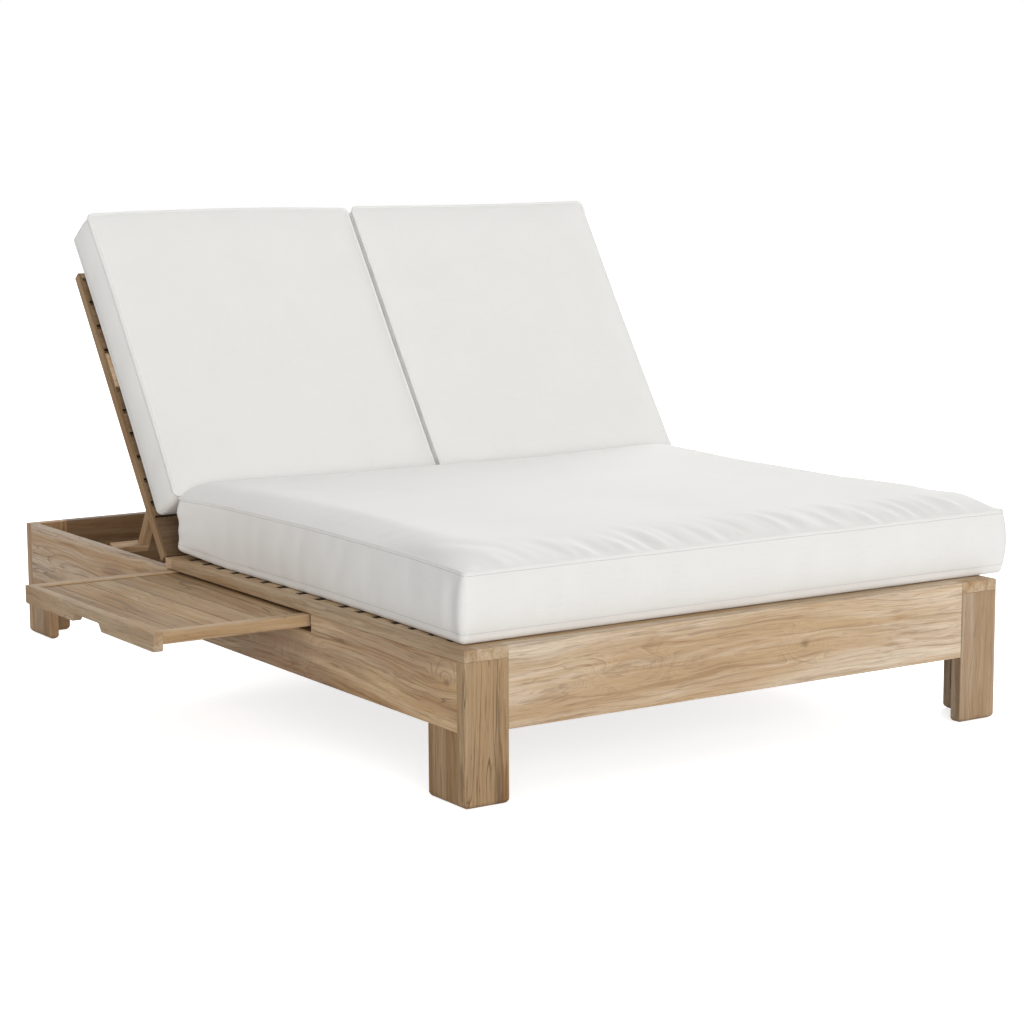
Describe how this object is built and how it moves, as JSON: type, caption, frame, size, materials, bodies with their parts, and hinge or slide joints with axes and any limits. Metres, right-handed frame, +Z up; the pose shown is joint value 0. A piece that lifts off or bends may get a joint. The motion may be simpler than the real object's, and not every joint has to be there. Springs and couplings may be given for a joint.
{
  "type": "double chaise lounger",
  "caption": "Low slatted hardwood platform with a full-width reclining back on a folding prop, pull-out side trays and loose box cushions.",
  "frame": {"origin": "on the floor under the front left leg, in the middle of its front board", "axes": "+X to the right side, +Y to the head end, +Z up"},
  "size_m": [1.798, 2.128, 1.0868],
  "materials": {
    "teak": "bare sanded teak, light brown",
    "canvas": "off-white woven canvas",
    "hinge_metal": "stainless steel"
  },
  "bodies": {
    "base": {"front_rail": "teak", "rear_rail": "teak", "left_side_rail": "teak", "right_side_rail": "teak", "front_left_leg": "teak", "front_right_leg": "teak", "rear_left_leg": "teak", "rear_right_leg": "teak", "corner_blocks": "teak", "front_centre_beam": "teak", "hinge_beam": "teak", "rear_centre_beam": "teak", "left_deck_board": "teak", "right_deck_board": "teak", "left_corner_staves": "teak", "right_corner_staves": "teak", "deck_rear_rail": "teak", "seat_slats": "teak", "deck_hinge_leaves": "hinge_metal", "hinge_pins": "hinge_metal", "left_rack": "teak", "right_rack": "teak", "left_rack_ledger": "teak", "right_rack_ledger": "teak", "front_tray_runners": "teak", "rear_tray_runners": "teak", "seat_cushion": "canvas"},
    "backrest": {"left_back_stile": "teak", "right_back_stile": "teak", "back_hinge_rail": "teak", "back_top_rail": "teak", "back_centre_stile": "teak", "back_bottom_board": "teak", "back_middle_board": "teak", "back_top_bar": "teak", "back_slats": "teak", "back_hinge_leaves": "hinge_metal", "left_prop_bracket": "teak", "right_prop_bracket": "teak", "left_back_cushion": "canvas", "right_back_cushion": "canvas"},
    "prop": {"left_prop_arm": "teak", "right_prop_arm": "teak", "left_prop_foot": "teak", "right_prop_foot": "teak", "prop_spreader": "teak", "prop_pins": "hinge_metal"},
    "left_tray": {"left_tray_end": "teak", "left_tray_front_rail": "teak", "left_tray_rear_rail": "teak", "left_tray_inner_rail": "teak", "left_tray_planks": "teak", "left_tray_stop": "teak"},
    "right_tray": {"right_tray_end": "teak", "right_tray_front_rail": "teak", "right_tray_rear_rail": "teak", "right_tray_inner_rail": "teak", "right_tray_planks": "teak", "right_tray_stop": "teak"}
  },
  "joints": [
    {"name": "backrest_hinge", "type": "hinge", "parent": "base", "child": "backrest", "pos_m": [0.635, 1.286, 0.31], "axis": [1, 0, 0], "range_deg": [-54.85, 0]},
    {"name": "prop_pivot", "type": "hinge", "parent": "backrest", "child": "prop", "pos_m": [0.635, 1.5292, 0.59287], "axis": [1, 0, 0], "range_deg": [0, 114.36]},
    {"name": "left_tray_slide", "type": "slide", "parent": "base", "child": "left_tray", "axis": [1, 0, 0], "range_m": [0, 0.331]},
    {"name": "right_tray_slide", "type": "slide", "parent": "base", "child": "right_tray", "axis": [1, 0, 0], "range_m": [0, 0.331]}
  ],
  "couplings": [
    {"joint": "prop_pivot", "follows": "backrest_hinge", "ratio": -2.0848}
  ]
}
